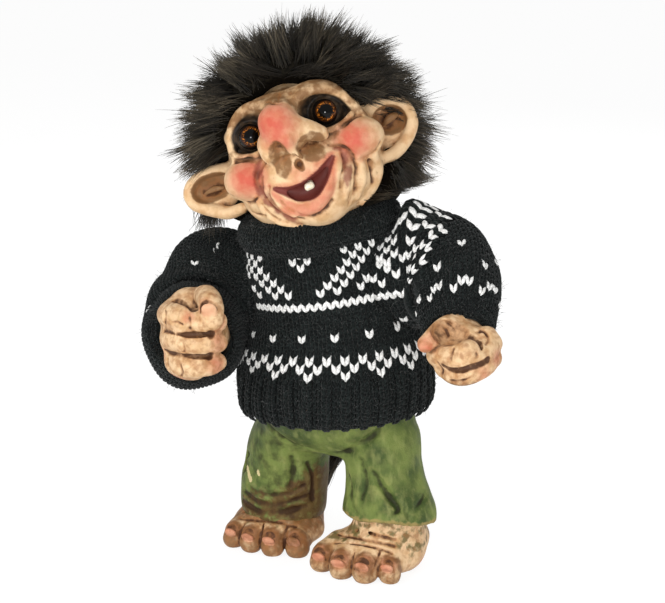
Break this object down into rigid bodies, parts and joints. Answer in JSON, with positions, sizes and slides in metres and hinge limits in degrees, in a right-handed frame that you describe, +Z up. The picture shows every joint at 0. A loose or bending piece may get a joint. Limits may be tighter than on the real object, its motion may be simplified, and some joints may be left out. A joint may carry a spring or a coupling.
{
  "type": "norwegian troll figure",
  "caption": "Standing folk troll figure with a grinning big-nosed face, wild fur hair, glass eyes, patterned knitted sweater, green trousers, bare feet and a tufted tail.",
  "frame": {"origin": "on the ground, under the middle of the figure's outline", "axes": "+Z up, the figure faces -Y and its left hand is on the +X side"},
  "size_m": [0.1971, 0.1479, 0.2924],
  "materials": {
    "skin": "hand-painted matte skin with a brown wash and pink blush",
    "trousers": "hand-painted mossy green with a brown wash",
    "bare_casting": "unpainted casting",
    "wool": "charcoal wool with white patterned stitches",
    "fur": "long dark brown fur",
    "tail_skin": "painted matte skin",
    "eye": "polished amber glass",
    "tooth": "ivory gloss paint",
    "dowel": "plain turned dowel",
    "washer": "plain",
    "wire": "plain wire"
  },
  "bodies": {
    "body": {"hips": "trousers", "right_leg": "trousers", "left_leg": "trousers", "torso": "bare_casting", "sweater_body": "wool", "sweater_hem": "wool", "sweater_collar": "wool", "right_foot": "skin", "left_foot": "skin", "tail_pin": "dowel"},
    "head": {"head": "skin", "hair": "fur", "tooth": "tooth", "right_eye": "eye", "left_eye": "eye", "right_eye_wire": "wire", "left_eye_wire": "wire", "neck_peg": "dowel", "neck_washer": "washer", "neck_split_pin": "wire"},
    "tail": {"tail": "tail_skin", "tail_tuft": "fur"},
    "right_arm": {"right_arm": "bare_casting", "right_sleeve": "wool", "right_hand": "skin", "right_shoulder_peg": "dowel", "right_shoulder_washer": "washer", "right_shoulder_split_pin": "wire"},
    "left_arm": {"left_arm": "bare_casting", "left_sleeve": "wool", "left_hand": "skin", "left_shoulder_peg": "dowel", "left_shoulder_washer": "washer", "left_shoulder_split_pin": "wire"}
  },
  "joints": [
    {"name": "neck_turn", "type": "hinge", "parent": "body", "child": "head", "pos_m": [-0.0133, 0.0036, 0.181], "axis": [-0.1736, 0, 0.9848], "range_deg": [-25, 25]},
    {"name": "right_shoulder", "type": "hinge", "parent": "body", "child": "right_arm", "pos_m": [-0.0403, 0.0036, 0.14202], "axis": [-1, 0, 0], "range_deg": [-4, 35]},
    {"name": "left_shoulder", "type": "hinge", "parent": "body", "child": "left_arm", "pos_m": [0.0237, 0.0056, 0.155], "axis": [-1, 0, 0], "range_deg": [-15, 35]},
    {"name": "tail_wag", "type": "hinge", "parent": "body", "child": "tail", "pos_m": [-0.0063, 0.0436, 0.072], "axis": [0, 1, 0], "range_deg": [-20, 20]}
  ]
}
